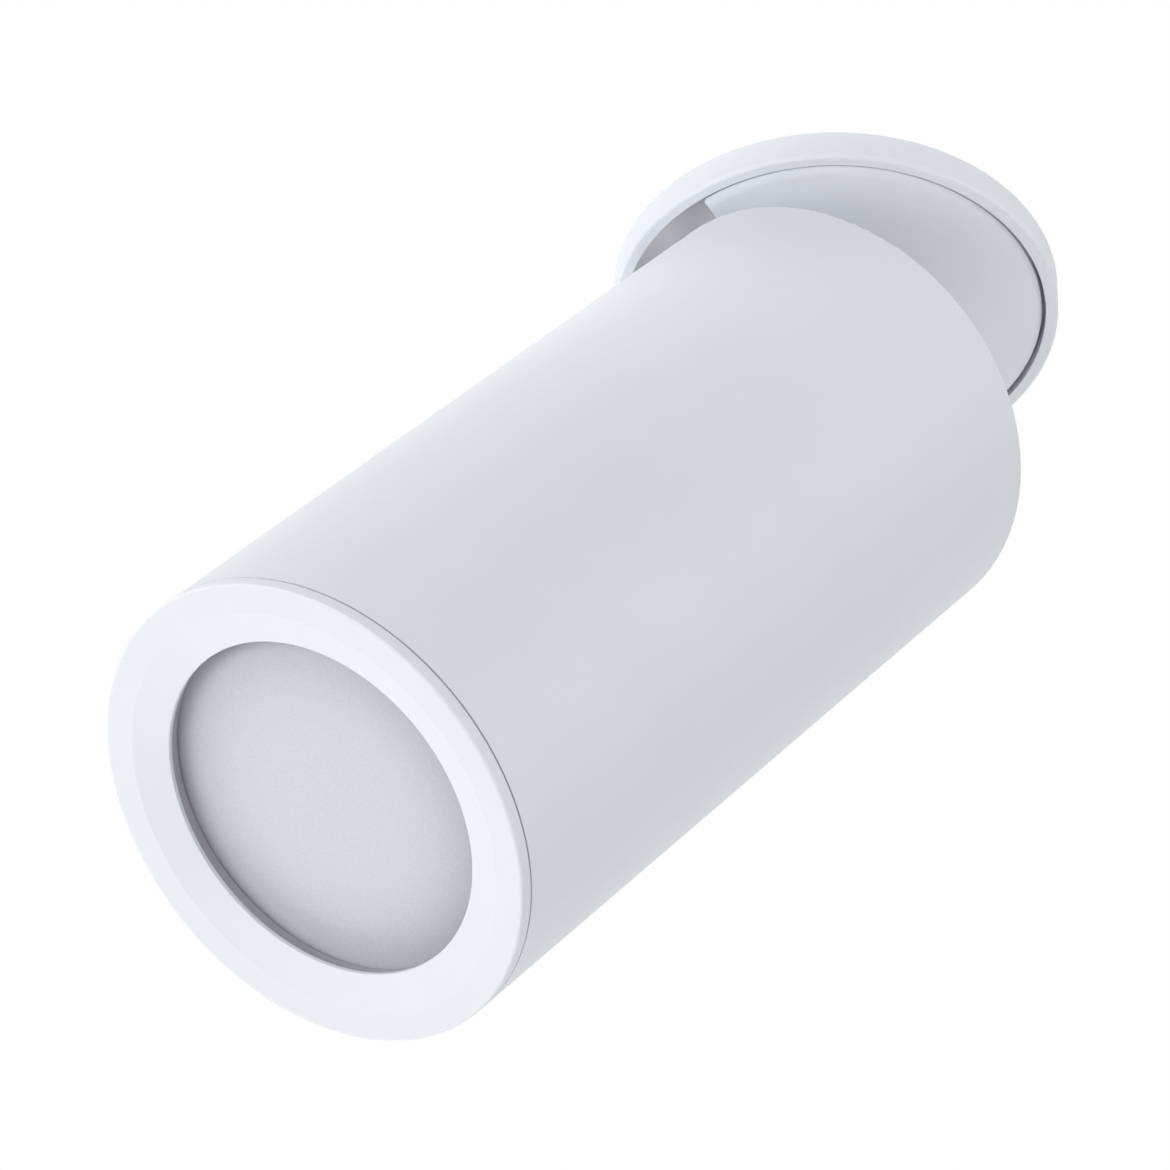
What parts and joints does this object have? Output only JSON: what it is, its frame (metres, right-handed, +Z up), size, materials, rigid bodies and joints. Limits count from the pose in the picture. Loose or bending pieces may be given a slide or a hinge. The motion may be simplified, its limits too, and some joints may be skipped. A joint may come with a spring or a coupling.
{
  "type": "recessed tilting spotlight",
  "caption": "White tube-shaped spotlight that tilts and turns in a slim round ceiling ring, with a recess housing, spring clips and a twist-lock reflector lamp.",
  "frame": {"origin": "centre of the trim ring's ceiling face, which is the lower end of the collar in the cut-out", "axes": "+Z up into the ceiling along the turning axis, +X the way the head leans, Y along the tilt hinge"},
  "size_m": [0.1433, 0.06, 0.1739],
  "materials": {
    "white_powder_coat": "matte",
    "zinc_steel": "satin",
    "steel_screws": "satin",
    "spring_steel": "satin",
    "brass_contacts": "satin",
    "white_plastic": "matte",
    "slippery_washer": "satin",
    "black_rubber": "matte",
    "silicone_seal": "matte",
    "grey_rubber": "matte",
    "ceramic": "glazed",
    "lamp_shell": "satin",
    "frosted_lens": "frosted",
    "circuit_board": "matte"
  },
  "bodies": {
    "housing": {"trim_ring": "white_powder_coat", "ring_stop_pin": "steel_screws", "recess_housing": "zinc_steel", "housing_screws": "steel_screws", "terminal_block": "white_plastic", "terminal_screws": "brass_contacts", "terminal_fixing_screw": "steel_screws", "inlet_grommet": "grey_rubber", "clip_pin_a": "steel_screws", "clip_pin_b": "steel_screws"},
    "clip_a": {"clip_arm_a": "zinc_steel", "clip_pad_a": "grey_rubber", "clip_spring_a": "spring_steel"},
    "clip_b": {"clip_arm_b": "zinc_steel", "clip_pad_b": "grey_rubber", "clip_spring_b": "spring_steel"},
    "turntable": {"turntable_plate": "white_powder_coat", "turntable_stop_pin": "steel_screws", "bearing_washer": "slippery_washer", "friction_washer": "slippery_washer", "stem_nut": "brass_contacts", "cable_bush": "white_plastic", "hinge_arm": "white_powder_coat", "arm_screws": "steel_screws"},
    "head": {"tube": "white_powder_coat", "rear_cap": "white_powder_coat", "cap_screws": "steel_screws", "cable_grommet": "grey_rubber", "earth_tag": "brass_contacts", "earth_screw": "steel_screws", "hinge_screw": "steel_screws", "hinge_nut": "steel_screws", "tilt_washers": "slippery_washer", "holder_strap": "zinc_steel", "strap_screws": "steel_screws", "lampholder": "ceramic", "holder_screws": "steel_screws"},
    "bezel": {"front_bezel": "white_powder_coat", "bezel_skirt": "white_powder_coat", "bezel_o_ring": "black_rubber", "bezel_gasket": "silicone_seal"},
    "lamp": {"lamp_housing": "lamp_shell", "lamp_base": "white_plastic", "lamp_pins": "brass_contacts", "lamp_lens": "frosted_lens", "led_board": "circuit_board"}
  },
  "joints": [
    {"name": "pan", "type": "hinge", "parent": "housing", "child": "turntable", "pos_m": [0, 0, 0], "axis": [0, 0, 1], "range_deg": [-165, 165]},
    {"name": "tilt", "type": "hinge", "parent": "turntable", "child": "head", "pos_m": [0.0232, 0, -0.0138], "axis": [0, -1, 0], "range_deg": [-35.8, 54.2]},
    {"name": "bezel_pull", "type": "slide", "parent": "head", "child": "bezel", "axis": [0.585, 0, -0.8111], "range_m": [0, 0.0085]},
    {"name": "lamp_twist", "type": "hinge", "parent": "head", "child": "lamp", "pos_m": [0.06674, 0, -0.11383], "axis": [0.585, 0, -0.8111], "range_deg": [0, 25]},
    {"name": "clip_a_fold", "type": "hinge", "parent": "housing", "child": "clip_a", "pos_m": [0.0235, 0, 0.011], "axis": [0, -1, 0], "range_deg": [0, 90], "stiffness_Nm_per_rad": 0.06, "springref_deg": -85.94},
    {"name": "clip_b_fold", "type": "hinge", "parent": "housing", "child": "clip_b", "pos_m": [-0.0235, 0, 0.011], "axis": [0, 1, 0], "range_deg": [0, 90], "stiffness_Nm_per_rad": 0.06, "springref_deg": -85.94}
  ]
}
